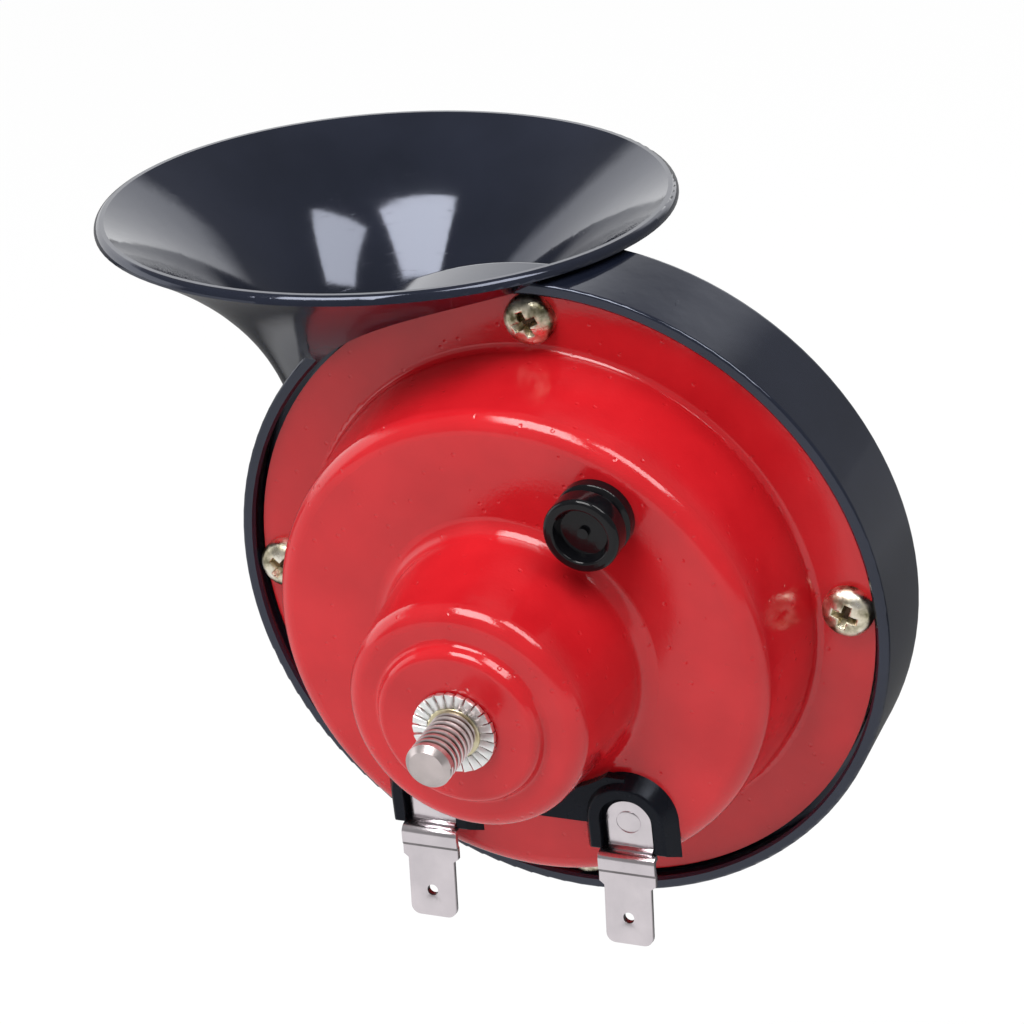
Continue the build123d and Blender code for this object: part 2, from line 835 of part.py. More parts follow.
parts = {
    "trumpet_body": trumpet_body(),
    "sound_plate": sound_plate(),
    "rear_gasket": gasket_ring(rear_gasket_y),
    "diaphragm": diaphragm(),
    "front_gasket": gasket_ring(front_gasket_y),
    "cover": cover(),
    "cover_screws": cover_screws(),
    "core_stud": core_stud(),
    "lock_washer": lock_washer(),
    "coil_bobbin": coil_bobbin(),
    "coil_winding": coil_winding(),
    "pole_plate": pole_plate_part(),
    "armature": armature(),
    "diaphragm_washer": diaphragm_washer(),
    "breaker_insulators": breaker_insulators(),
    "breaker_clamp": breaker_clamp(),
    "breaker_spring": breaker_spring(),
    "contact_arm": contact_arm(),
    "moving_contact": contact_point(leaf_y + leaf_sheet),
    "fixed_contact": contact_point(leaf_y + leaf_sheet + contact_rise),
    "breaker_rivets": breaker_rivets(),
    "adjuster_nut": adjuster_nut(),
    "adjuster_screw": adjuster_screw(),
    "adjuster_cap": adjuster_cap(),
    "terminal_carrier": terminal_carrier(),
    "terminal_left": terminal_blade(-blade_pitch),
    "terminal_right": terminal_blade(blade_pitch),
    "terminal_rivets": terminal_rivets(),
    "terminal_insulator": terminal_insulator(),
    "terminal_lug_left": terminal_lug(-blade_pitch),
    "terminal_lug_right": terminal_lug(blade_pitch),
    "lead_coil_terminal": lead_over(
        coil_end(coil_exits[0]), lug_end(5 - blade_pitch), pole_back_y + 3
    ),
    "lead_coil_breaker": lead_over(coil_end(coil_exits[1]), leaf_joint, pole_back_y + 8),
    "lead_breaker_terminal": lead_over(
        arm_joint, lug_end(blade_pitch - 5), arm_y + arm_sheet + 4
    ),
}

os.makedirs("parts", exist_ok=True)
for name, shape in parts.items():
    if isinstance(shape, list):
        shape = Compound(children=[s.solid() for s in shape])
    export_step(shape, f"parts/{name}.step")
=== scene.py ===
import bpy
import bmesh
import math
from mathutils import Matrix, Vector


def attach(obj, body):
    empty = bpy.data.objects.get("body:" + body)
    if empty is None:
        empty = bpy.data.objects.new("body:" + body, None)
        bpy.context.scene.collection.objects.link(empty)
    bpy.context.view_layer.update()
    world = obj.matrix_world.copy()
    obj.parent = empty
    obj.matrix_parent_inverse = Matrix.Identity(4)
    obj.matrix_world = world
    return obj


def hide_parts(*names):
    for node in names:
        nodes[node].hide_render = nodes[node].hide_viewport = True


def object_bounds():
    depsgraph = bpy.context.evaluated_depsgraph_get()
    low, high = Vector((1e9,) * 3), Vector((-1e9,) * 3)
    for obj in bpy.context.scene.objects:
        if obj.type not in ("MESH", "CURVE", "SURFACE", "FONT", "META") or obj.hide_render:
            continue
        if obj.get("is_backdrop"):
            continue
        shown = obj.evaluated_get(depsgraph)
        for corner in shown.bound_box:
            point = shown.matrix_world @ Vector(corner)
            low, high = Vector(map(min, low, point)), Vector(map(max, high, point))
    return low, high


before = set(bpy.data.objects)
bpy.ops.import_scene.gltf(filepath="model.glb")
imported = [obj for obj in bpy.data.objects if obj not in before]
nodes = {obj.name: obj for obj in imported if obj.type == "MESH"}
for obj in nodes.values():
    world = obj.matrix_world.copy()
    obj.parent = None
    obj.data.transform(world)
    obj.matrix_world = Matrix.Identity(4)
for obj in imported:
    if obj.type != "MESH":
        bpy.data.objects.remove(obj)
cad_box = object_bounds()

# ---- trumpet body ---------------------------------------------------------------
# One black ABS moulding: the round housing with its raised front lip, the snail
# duct behind it and the bell. The tool is polished, so the skin is glossy, with
# faint flow streaks and fine handling scratches.


def new_material(name, color, roughness, metallic=0.0):
    """A node material; its shader, its tree and its object coordinates."""
    material = bpy.data.materials.new(name)
    material.use_nodes = True
    tree = material.node_tree
    shader = tree.nodes["Principled BSDF"]
    shader.inputs["Base Color"].default_value = (*color, 1)
    shader.inputs["Roughness"].default_value = roughness
    shader.inputs["Metallic"].default_value = metallic
    place = tree.nodes.new("ShaderNodeTexCoord").outputs["Object"]
    return material, shader, tree, place


def stretched(tree, place, scale, turn=(0, 0, 0)):
    """The same coordinates, turned and scaled apart in three directions."""
    mapping = tree.nodes.new("ShaderNodeMapping")
    mapping.inputs["Rotation"].default_value = turn
    mapping.inputs["Scale"].default_value = scale
    tree.links.new(place, mapping.inputs["Vector"])
    return mapping.outputs["Vector"]


def noise(tree, place, scale, detail=3.0):
    """Cloudy values round 0.5, finer as the scale grows."""
    texture = tree.nodes.new("ShaderNodeTexNoise")
    texture.inputs["Scale"].default_value = scale
    texture.inputs["Detail"].default_value = detail
    tree.links.new(place, texture.inputs["Vector"])
    return texture.outputs["Fac"]


def ramp(tree, value, *stops):
    """Colours or greys over a value, from (position, colour) pairs."""
    node = tree.nodes.new("ShaderNodeValToRGB")
    marks = node.color_ramp.elements
    while len(marks) < len(stops):
        marks.new(0.5)
    for mark, (position, color) in zip(marks, stops):
        mark.position = position
        mark.color = (*color, 1) if isinstance(color, tuple) else (color, color, color, 1)
    tree.links.new(value, node.inputs["Fac"])
    return node.outputs["Color"]


def vary(tree, shader, socket, value, *stops):
    """Lets one socket of the shader follow a value through a ramp."""
    tree.links.new(ramp(tree, value, *stops), shader.inputs[socket])


def bump(tree, shader, height, strength, distance, below=None):
    """Relief in metres on the shader, over an earlier one if given."""
    node = tree.nodes.new("ShaderNodeBump")
    node.inputs["Strength"].default_value = strength
    node.inputs["Distance"].default_value = distance
    tree.links.new(height, node.inputs["Height"])
    if below:
        tree.links.new(below, node.inputs["Normal"])
    tree.links.new(node.outputs["Normal"], shader.inputs["Normal"])
    return node.outputs["Normal"]


def paint(material, *pieces):
    """Gives pieces one material and no other."""
    for piece in pieces:
        piece.data.materials.clear()
        piece.data.materials.append(material)


body_plastic, shader, tree, place = new_material("black_abs", (0.006, 0.0065, 0.009), 0.2)
dark_abs, pale_abs = (0.0045, 0.006, 0.012), (0.009, 0.011, 0.02)
vary(tree, shader, "Base Color", noise(tree, place, 60, 4), (0.3, dark_abs), (0.7, pale_abs))
flow = noise(tree, stretched(tree, place, (1, 3, 0.6)), 35, 5)
vary(tree, shader, "Roughness", flow, (0.3, 0.05), (0.75, 0.13))
shader.inputs["Specular IOR Level"].default_value = 0.7
shader.inputs["Specular Tint"].default_value = (0.78, 0.83, 1, 1)
scratches = noise(tree, stretched(tree, place, (1, 1, 14), (0.5, 0.3, 0.7)), 260, 6)
skin = bump(tree, shader, noise(tree, place, 500, 2), 0.05, 0.0001)
bump(tree, shader, ramp(tree, scratches, (0.66, 0.0), (0.7, 1.0)), 0.12, 0.00002, skin)
paint(body_plastic, nodes["trumpet_body"])

# ---- sound plate ----------------------------------------------------------------
# A disc of the same plastic welded over the throat, with a matt tool face and
# turned rings round its middle hole.
plate_plastic, shader, tree, place = new_material("plate_plastic", (0.012, 0.012, 0.014), 0.45)
vary(tree, shader, "Roughness", noise(tree, place, 220, 5), (0.3, 0.35), (0.7, 0.55))
rings = tree.nodes.new("ShaderNodeTexWave")
rings.wave_type = "RINGS"
rings.rings_direction = "Y"
rings.inputs["Scale"].default_value = 400
rings.inputs["Distortion"].default_value = 1.0
tree.links.new(place, rings.inputs["Vector"])
bump(tree, shader, rings.outputs["Fac"], 0.2, 0.00003)
paint(plate_plastic, nodes["sound_plate"])

# ---- gaskets and diaphragm ------------------------------------------------------
# Oiled paper rings on both sides of a thin rolled spring-steel disc with one
# stiffening wave, clamped between the housing ledge and the cover.
gasket_paper, shader, tree, place = new_material("gasket_paper", (0.35, 0.26, 0.17), 0.8)
fibres = noise(tree, place, 900, 5)
vary(tree, shader, "Base Color", fibres, (0.35, (0.28, 0.2, 0.12)), (0.65, (0.42, 0.33, 0.23)))
bump(tree, shader, noise(tree, place, 1500, 2), 0.3, 0.0001)
paint(gasket_paper, nodes["rear_gasket"], nodes["front_gasket"])


def bare_metal(name, dark, light, gloss, scale, stretch):
    """Rolled or turned metal: tone and gloss drift, and fine streaks run one way."""
    smooth, rough = gloss
    material, shader, tree, place = new_material(name, light, rough, 1.0)
    vary(tree, shader, "Base Color", noise(tree, place, scale, 5), (0.3, dark), (0.7, light))
    streaks = noise(tree, stretched(tree, place, stretch), 6 * scale, 4)
    vary(tree, shader, "Roughness", streaks, (0.3, smooth), (0.7, rough))
    bump(tree, shader, streaks, 0.15, 0.00002)
    return material


spring_steel = bare_metal(
    "spring_steel", (0.4, 0.4, 0.42), (0.56, 0.56, 0.56), (0.2, 0.4), 60, (1, 1, 12)
)
paint(spring_steel, nodes["diaphragm"], nodes["diaphragm_washer"])

# ---- core and stud --------------------------------------------------------------
# The pole core is turned from one steel bar with the stud: M6 thread in front,
# a collar staked over the washer, and the thick core in the coil behind it.
# Zinc plated, with a warm passivated tint on the collar.
mm = 0.001
stud_radius, stud_tip, stud_root, tip_chamfer = 2.95, -7.9, 0.4, 0.7
thread_pitch, thread_turns, thread_start, thread_root = 1.0, 9, -7.0, 2.36
core_radius, core_front, core_back, core_edge = 7.0, 2.1, 17.6, 0.4
neck_radius, collar_radius, collar_front, collar_back = 3.2, 3.4, 0.3, 0.5


def pick_alone(piece):
    """Selects one piece, and nothing else."""
    bpy.ops.object.select_all(action="DESELECT")
    bpy.context.view_layer.objects.active = piece
    piece.select_set(True)


def edit(piece):
    """Edit mode on one piece alone."""
    pick_alone(piece)
    bpy.ops.object.mode_set(mode="EDIT")


def pick_faces(piece, test):
    """Selects the faces whose middle, in millimetres, and normal pass the test."""
    bpy.ops.mesh.select_mode(type="FACE")
    bpy.ops.mesh.select_all(action="DESELECT")
    shape = bmesh.from_edit_mesh(piece.data)
    for face in shape.faces:
        if test(face.calc_center_median() / mm, face.normal):
            face.select_set(True)
    bmesh.update_edit_mesh(piece.data)


def pick_edges(piece, test):
    """Selects the edges whose two ends, in millimetres, pass the test."""
    bpy.ops.mesh.select_mode(type="EDGE")
    bpy.ops.mesh.select_all(action="DESELECT")
    shape = bmesh.from_edit_mesh(piece.data)
    for edge in shape.edges:
        if test(edge.verts[0].co / mm, edge.verts[1].co / mm):
            edge.select_set(True)
    bmesh.update_edit_mesh(piece.data)


def finish_edit(angle=30):
    """Back to object mode, outward normals, smooth up to an angle."""
    bpy.ops.mesh.select_all(action="SELECT")
    bpy.ops.mesh.normals_make_consistent(inside=False)
    bpy.ops.object.mode_set(mode="OBJECT")
    bpy.ops.object.shade_smooth_by_angle(angle=math.radians(angle))


def settle():
    """Puts the active object's place, turn and size into its mesh."""
    bpy.ops.object.transform_apply(location=True, rotation=True, scale=True)


def bar(name, radius, front, back, sides, x=0.0, z=0.0):
    """Round bar along Y between two stations, with its place in its mesh."""
    bpy.ops.object.select_all(action="DESELECT")
    bpy.ops.mesh.primitive_cylinder_add(
        vertices=sides,
        radius=radius * mm,
        depth=(back - front) * mm,
        location=(x * mm, (front + back) / 2 * mm, z * mm),
        rotation=(math.pi / 2, 0, 0),
    )
    piece = bpy.context.object
    piece.name = name
    settle()
    return piece


def turn_steps(piece, start, *steps, x=0.0, z=0.0):
    """Carries the front end face through (radius, station) steps, as on a lathe."""
    radius, station = start
    pick_faces(piece, lambda middle, normal: normal.y < -0.99 and abs(middle.y - station) < 0.01)
    for next_radius, next_station in steps:
        move = (0, (next_station - station) * mm, 0)
        bpy.ops.mesh.extrude_region_move(TRANSFORM_OT_translate={"value": move})
        grow = next_radius / radius
        centre_point = (x * mm, next_station * mm, z * mm)
        bpy.ops.transform.resize(value=(grow, 1, grow), center_override=centre_point)
        radius, station = next_radius, next_station


def bevel_end(piece, station, size, segments):
    """Bevels the rim of a bar's end at a station."""
    pick_edges(piece, lambda a, b: abs(a.y - station) < 0.01 and abs(b.y - station) < 0.01)
    bpy.ops.mesh.bevel(offset=size * mm, segments=segments, affect="EDGES")


def cut(piece, tool, operation="DIFFERENCE"):
    """Boolean with a tool that is used up."""
    pick_alone(piece)
    bpy.ops.object.modifier_add(type="BOOLEAN")
    modifier = piece.modifiers[-1]
    modifier.operation = operation
    modifier.solver = "EXACT"
    modifier.object = tool
    bpy.ops.object.modifier_apply(modifier=modifier.name)
    bpy.data.objects.remove(tool)


# The thread tool is a sharp triangle, carried round the axis in a helix.
stud = bar("stud", stud_radius, stud_tip, stud_root, 64)
edit(stud)
bevel_end(stud, stud_tip, tip_chamfer, 1)
bpy.ops.object.mode_set(mode="OBJECT")
tool_size = thread_pitch / math.sqrt(3)
bpy.ops.object.select_all(action="DESELECT")
bpy.ops.mesh.primitive_circle_add(
    vertices=3,
    radius=tool_size * mm,
    location=((thread_root + tool_size) * mm, thread_start * mm, 0),
    rotation=(0, 0, math.pi / 2),
)
thread_tool = bpy.context.object
settle()
bpy.ops.object.modifier_add(type="SCREW")
helix = thread_tool.modifiers[-1]
helix.axis = "Y"
helix.angle = 2 * math.pi
helix.screw_offset = thread_pitch * mm
helix.iterations = thread_turns
helix.steps = 48
helix.render_steps = 48
bpy.ops.object.modifier_apply(modifier=helix.name)
edit(thread_tool)
bpy.ops.mesh.select_all(action="SELECT")
bpy.ops.mesh.remove_doubles(threshold=0.000001)
bpy.ops.mesh.fill_holes(sides=4)
finish_edit()
cut(stud, thread_tool)

core = bar("core_and_stud", core_radius, core_front, core_back, 64)
edit(core)
bevel_end(core, core_back, core_edge, 3)
neck_and_collar = (
    (neck_radius, core_front),
    (neck_radius, collar_back),
    (collar_radius, collar_back),
    (collar_radius, collar_front + 0.1),
    (collar_radius - 0.08, collar_front + 0.02),
    (neck_radius, collar_front),
)
turn_steps(core, (core_radius, core_front), *neck_and_collar)
bpy.ops.object.mode_set(mode="OBJECT")
cut(core, stud, "UNION")
edit(core)
finish_edit(35)

zinc, shader, tree, place = new_material("zinc_plate", (0.7, 0.69, 0.68), 0.3, 1.0)
zinc_tones = ((0.3, (0.56, 0.5, 0.49)), (0.6, (0.68, 0.6, 0.59)), (0.8, (0.74, 0.7, 0.64)))
vary(tree, shader, "Base Color", noise(tree, place, 260, 4), *zinc_tones)
vary(tree, shader, "Roughness", noise(tree, place, 900, 4), (0.3, 0.26), (0.7, 0.42))
bump(tree, shader, noise(tree, place, 2500, 3), 0.15, 0.00002)

# On the thread the tone follows the distance from the axis, in units of 4 mm:
# painted shade darkens the groove, and the crest is lighter.
thread_zinc, shader, tree, place = new_material("thread_zinc", (0.7, 0.6, 0.6), 0.34, 1.0)
from_axis = tree.nodes.new("ShaderNodeVectorMath")
from_axis.operation = "LENGTH"
tree.links.new(stretched(tree, place, (250, 0, 250)), from_axis.inputs[0])
groove_shade_tones = (
    (0.61, (0.05, 0.03, 0.025)),
    (0.68, (0.16, 0.1, 0.09)),
    (0.72, (0.78, 0.68, 0.68)),
)
vary(tree, shader, "Base Color", from_axis.outputs["Value"], *groove_shade_tones)
vary(tree, shader, "Roughness", noise(tree, place, 900, 4), (0.3, 0.3), (0.7, 0.46))
bump(tree, shader, noise(tree, place, 2500, 3), 0.2, 0.00002)

collar_tint, shader, tree, place = new_material("collar_tint", (0.7, 0.6, 0.36), 0.3, 1.0)
passivated = noise(tree, place, 700, 3)
vary(tree, shader, "Base Color", passivated, (0.3, (0.58, 0.5, 0.3)), (0.7, (0.76, 0.7, 0.5)))
bump(tree, shader, noise(tree, place, 2500, 3), 0.2, 0.00002)

paint(zinc, core)
core.data.materials.append(collar_tint)
core.data.materials.append(thread_zinc)
tint_front, tint_back, thread_front = collar_front - 0.05, collar_back + 0.02, stud_tip + 0.6
for face in core.data.polygons:
    station = face.center.y / mm
    if tint_front < station < tint_back:
        face.material_index = 1
    elif thread_front < station <= tint_front:
        face.material_index = 2
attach(core, "horn")
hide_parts("core_stud")

# ---- coil -----------------------------------------------------------------------
# A natural nylon bobbin over the core, layer-wound with half-millimetre enamelled
# copper wire, whose turns lie side by side along the core.
nylon, shader, tree, place = new_material("natural_nylon", (0.62, 0.57, 0.46), 0.42)
clouds = noise(tree, place, 150, 4)
vary(tree, shader, "Base Color", clouds, (0.3, (0.56, 0.51, 0.4)), (0.7, (0.68, 0.63, 0.53)))
bump(tree, shader, noise(tree, place, 900, 3), 0.15, 0.00005)
paint(nylon, nodes["coil_bobbin"])


def copper(name):
    """Copper under clear wire enamel."""
    material, shader, tree, place = new_material(name, (0.62, 0.2, 0.08), 0.28, 0.85)
    tone = noise(tree, place, 300, 3)
    vary(tree, shader, "Base Color", tone, (0.3, (0.5, 0.15, 0.06)), (0.7, (0.72, 0.26, 0.11)))
    shader.inputs["Coat Weight"].default_value = 0.6
    shader.inputs["Coat Roughness"].default_value = 0.12
    return material, shader, tree, place


# The bands of the wave repeat every pi / (10 * scale) metres: one turn of wire.
winding_copper, shader, tree, place = copper("winding_copper")
turns = tree.nodes.new("ShaderNodeTexWave")
turns.bands_direction = "Y"
turns.inputs["Scale"].default_value = 628
turns.inputs["Distortion"].default_value = 0.4
tree.links.new(place, turns.inputs["Vector"])
bump(tree, shader, turns.outputs["Fac"], 0.9, 0.0002)
paint(winding_copper, nodes["coil_winding"])

# ---- cover ----------------------------------------------------------------------
# Deep-drawn steel in one sheet, from the flange to the pad round the stud, in
# thick glossy red enamel: a wet-looking skin with soft orange peel, fine grit
# under it and a few pinholes.


def specks(tree, place, scale):
    """Distance to the nearest of many scattered points."""
    texture = tree.nodes.new("ShaderNodeTexVoronoi")
    texture.inputs["Scale"].default_value = scale
    tree.links.new(place, texture.inputs["Vector"])
    return texture.outputs["Distance"]


red_enamel, shader, tree, place = new_material("red_enamel", (0.44, 0.008, 0.013), 0.1)
deep_red, light_red = (0.4, 0.007, 0.011), (0.49, 0.011, 0.016)
vary(tree, shader, "Base Color", noise(tree, place, 90, 4), (0.3, deep_red), (0.7, light_red))
shader.inputs["Specular IOR Level"].default_value = 0.52
vary(tree, shader, "Roughness", noise(tree, place, 140, 6), (0.35, 0.08), (0.72, 0.2))
peel = bump(tree, shader, noise(tree, place, 420, 3), 0.16, 0.0001)
grit = bump(tree, shader, noise(tree, place, 2600, 4), 0.3, 0.00005, peel)
pinholes = ramp(tree, specks(tree, place, 480), (0.07, 0.0), (0.15, 1.0))
bump(tree, shader, pinholes, 0.6, 0.00008, grit)
paint(red_enamel, nodes["cover"])

# ---- toothed washer -------------------------------------------------------------
# A6.4 external toothed lock washer of zinc plated spring steel: a flat ring held
# by the staked collar, and twenty-four teeth twisted out of its plane.
ring_radius, ring_width, ring_front, ring_back = 4.3, 1.05, 0.55, 1.2
tooth_count, tooth_twist, tooth_edge = 24, 11, 0.07
tooth_place, tooth_station = 4.4, 0.6
tooth_length, tooth_sheet, tooth_width = 1.88, 0.7, 1.02


def copy_of(piece, move):
    """A copy with its own mesh, carried by a matrix."""
    pick_alone(piece)
    bpy.ops.object.duplicate(linked=False)
    copy = bpy.context.object
    copy.matrix_world = move
    settle()
    return copy


def join_to(piece, others):
    """Joins other pieces to one."""
    pick_alone(piece)
    for other in others:
        other.select_set(True)
    bpy.ops.object.join()


washer = bar("toothed_washer", ring_radius, ring_front, ring_back, 96)
edit(washer)
pick_faces(washer, lambda middle, normal: abs(normal.y) > 0.99)
bpy.ops.mesh.inset(thickness=ring_width * mm)
bpy.ops.mesh.bridge_edge_loops()
finish_edit()

tooth_middle = (tooth_place * mm, tooth_station * mm, 0)
tooth_root = ((tooth_place - tooth_length / 2) * mm, tooth_station * mm, 0)
tooth_tip = ((tooth_place + tooth_length / 2) * mm, tooth_station * mm, 0)
bpy.ops.object.select_all(action="DESELECT")
bpy.ops.mesh.primitive_cube_add(size=mm, location=tooth_middle)
tooth = bpy.context.object
settle()
edit(tooth)
bpy.ops.mesh.select_all(action="SELECT")
tooth_size = (tooth_length, tooth_sheet, tooth_width)
bpy.ops.transform.resize(value=tooth_size, center_override=tooth_middle)
pick_faces(tooth, lambda middle, normal: normal.x < -0.9)
bpy.ops.transform.resize(value=(1, 0.8, 0.68), center_override=tooth_root)
pick_faces(tooth, lambda middle, normal: normal.x > 0.9)
bpy.ops.transform.resize(value=(1, 1, 1.16), center_override=tooth_tip)
bpy.ops.mesh.select_all(action="SELECT")
bpy.ops.mesh.bevel(offset=tooth_edge * mm, segments=2, affect="EDGES")
bpy.ops.mesh.select_all(action="SELECT")
twist = math.radians(tooth_twist)
bpy.ops.transform.rotate(value=twist, orient_axis="X", center_override=tooth_middle)
finish_edit()
teeth = []
for number in range(tooth_count):
    angle = math.radians(360 / tooth_count * number)
    teeth.append(copy_of(tooth, Matrix.Rotation(angle, 4, "Y")))
bpy.data.objects.remove(tooth)
join_to(washer, teeth)

bright_zinc, shader, tree, place = new_material("bright_zinc", (0.8, 0.8, 0.79), 0.2, 1.0)
bright_tones = ((0.3, (0.86, 0.88, 0.86)), (0.55, (0.97, 0.97, 0.96)), (0.8, (0.98, 0.95, 0.95)))
vary(tree, shader, "Base Color", noise(tree, place, 500, 4), *bright_tones)
vary(tree, shader, "Roughness", noise(tree, place, 1200, 4), (0.3, 0.3), (0.7, 0.5))
bump(tree, shader, noise(tree, place, 3000, 3), 0.25, 0.00002)
paint(bright_zinc, washer)
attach(washer, "horn")
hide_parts("lock_washer")

# ---- pole plate and armature ----------------------------------------------------
# The pole plate welded inside the drum, and the armature that works through it,
# peened over the diaphragm. Machined mild steel with fine tool marks and oil.
mild_steel = bare_metal(
    "mild_steel", (0.3, 0.3, 0.31), (0.46, 0.45, 0.44), (0.22, 0.48), 80, (1, 9, 1)
)
paint(mild_steel, nodes["pole_plate"], nodes["armature"])

# ---- contact breaker ------------------------------------------------------------
# A bronze leaf and a stiff steel arm, clamped between fibre plates by two
# rivets. The armature collar lifts the leaf and parts two tungsten contacts.
fibre_board, shader, tree, place = new_material("fibre_board", (0.4, 0.19, 0.08), 0.55)
layers = noise(tree, stretched(tree, place, (1, 8, 1)), 420, 5)
vary(tree, shader, "Base Color", layers, (0.35, (0.32, 0.14, 0.06)), (0.65, (0.5, 0.27, 0.13)))
bump(tree, shader, layers, 0.25, 0.00004)
paint(fibre_board, nodes["breaker_insulators"], nodes["terminal_insulator"])

stamped_steel = bare_metal(
    "stamped_steel", (0.36, 0.36, 0.37), (0.52, 0.52, 0.52), (0.25, 0.45), 120, (1, 1, 7)
)
paint(stamped_steel, nodes["breaker_clamp"], nodes["contact_arm"], nodes["breaker_rivets"])
bronze = bare_metal(
    "phosphor_bronze", (0.55, 0.3, 0.16), (0.72, 0.46, 0.27), (0.2, 0.38), 110, (10, 1, 1)
)
paint(bronze, nodes["breaker_spring"])
tungsten = bare_metal(
    "tungsten", (0.5, 0.51, 0.53), (0.68, 0.68, 0.7), (0.15, 0.3), 300, (1, 1, 1)
)
paint(tungsten, nodes["moving_contact"], nodes["fixed_contact"])

# ---- adjusting screw and cap ----------------------------------------------------
# A plated screw in a pressed-in nut sets the contacts. A moulded rubber spool,
# dished in front and waisted behind, plugs the hole over it.
paint(zinc, nodes["adjuster_nut"], nodes["adjuster_screw"])
cap_rubber, shader, tree, place = new_material("cap_rubber", (0.004, 0.004, 0.005), 0.16)
shader.inputs["Specular IOR Level"].default_value = 0.26
vary(tree, shader, "Roughness", noise(tree, place, 700, 4), (0.3, 0.05), (0.7, 0.16))
bump(tree, shader, noise(tree, place, 1400, 3), 0.18, 0.00005)
paint(cap_rubber, nodes["adjuster_cap"])

# ---- terminal carrier and lugs --------------------------------------------------
# A black moulding with two sloping arches joined by a bar, on the drum face. The
# nickel-plated lugs behind it sit inside the cover, on a fibre strip.
carrier_plastic, shader, tree, place = new_material("carrier_plastic", (0.005, 0.006, 0.009), 0.25)
shader.inputs["Specular IOR Level"].default_value = 0.14
shader.inputs["Specular Tint"].default_value = (0.8, 0.86, 1, 1)
vary(tree, shader, "Roughness", noise(tree, place, 300, 4), (0.3, 0.18), (0.7, 0.36))
bump(tree, shader, noise(tree, place, 1800, 3), 0.15, 0.00005)
paint(carrier_plastic, nodes["terminal_carrier"])
nickel = bare_metal(
    "nickel_plate", (0.68, 0.63, 0.66), (0.79, 0.73, 0.76), (0.18, 0.27), 220, (6, 1, 1)
)
paint(nickel, nodes["terminal_lug_left"], nodes["terminal_lug_right"])

# ---- blades ---------------------------------------------------------------------
# Two nickel-plated brass tabs, blanked and bent from one strip each: a round-topped
# foot under its rivet, a step forward, an upright lip with a pressed line under it,
# and a plug for a 6.3 mm connector, with a detent hole.
blade_place, foot_middle, blade_sheet = 13.5, 19.05, 0.8
neck_width, head_width, plug_width = 6.1, 7.6, 6.3
neck_top, neck_bottom, step_bottom = -19.15, -26.2, -26.5
lip_bottom, shoulder_bottom, plug_bottom = -28.25, -30.5, -38.35
foot_round, plug_corner, blank_edge = 3.0, 1.25, 0.07
rivet_height, rivet_hole = -22.2, 1.45
detent_height, detent_radius = -34.65, 0.72

foot_front = foot_middle - blade_sheet / 2
foot_back = foot_middle + blade_sheet / 2
neck_centre = (neck_top + neck_bottom) / 2
bpy.ops.object.select_all(action="DESELECT")
bpy.ops.mesh.primitive_plane_add(
    size=mm,
    location=(blade_place * mm, foot_middle * mm, neck_centre * mm),
    rotation=(math.pi / 2, 0, 0),
)
blade = bpy.context.object
settle()
edit(blade)
bpy.ops.mesh.select_all(action="SELECT")
bpy.ops.transform.resize(
    value=(neck_width, 1, neck_top - neck_bottom),
    center_override=(blade_place * mm, 0, neck_centre * mm),
)
pick_edges(blade, lambda a, b: a.z < neck_bottom + 0.2 and b.z < neck_bottom + 0.2)

# Each run is a way forward, a way down and how much wider the strip gets: three
# on the step and out to the head, the lip, back into the pressed line, down the
# shoulders, in to the plug's width, and down.
runs = (
    (-0.9, -0.12, 1),
    (-0.25, -0.03, head_width / neck_width),
    (-1.05, -0.15, 1),
    (-0.12, lip_bottom - step_bottom, 1),
    (0.17, -0.4, 1),
    (-0.191, -1.35, 1),
    (-0.071, -0.5, plug_width / head_width),
    (-1.108, plug_bottom - shoulder_bottom, 1),
)
for forward, down, wider in runs:
    move = (0, forward * mm, down * mm)
    bpy.ops.mesh.extrude_region_move(TRANSFORM_OT_translate={"value": move})
    bpy.ops.transform.resize(value=(wider, 1, 1), center_override=(blade_place * mm, 0, 0))
for bend, size in ((neck_bottom, 0.4), (step_bottom, 0.5), (lip_bottom, 0.12)):
    pick_edges(blade, lambda a, b: abs(a.z - bend) < 0.01 and abs(b.z - bend) < 0.01)
    bpy.ops.mesh.bevel(offset=size * mm, segments=5, affect="EDGES")
pick_edges(blade, lambda a, b: a.z < plug_bottom + 0.05 and b.z < plug_bottom + 0.05)
bpy.ops.mesh.bevel(offset=plug_corner * mm, segments=6, affect="VERTICES")
pick_edges(blade, lambda a, b: a.z > neck_top - 0.05 and b.z > neck_top - 0.05)
bpy.ops.mesh.bevel(offset=foot_round * mm, segments=14, affect="VERTICES")
bpy.ops.object.mode_set(mode="OBJECT")
bpy.ops.object.modifier_add(type="SOLIDIFY")
thicken = blade.modifiers[-1]
thicken.thickness = blade_sheet * mm
thicken.offset = 0
thicken.use_even_offset = True
bpy.ops.object.modifier_apply(modifier=thicken.name)
punch = bar("punch", rivet_hole, foot_front - 1, foot_back + 1, 48, blade_place, rivet_height)
cut(blade, punch)
cut(blade, bar("detent_punch", detent_radius, 14, 18, 40, blade_place, detent_height))
edit(blade)
bpy.ops.mesh.select_mode(type="EDGE")
bpy.ops.mesh.select_all(action="DESELECT")
bpy.ops.mesh.edges_select_sharp(sharpness=math.radians(60))
bpy.ops.mesh.bevel(offset=blank_edge * mm, segments=2, affect="EDGES")
finish_edit(35)
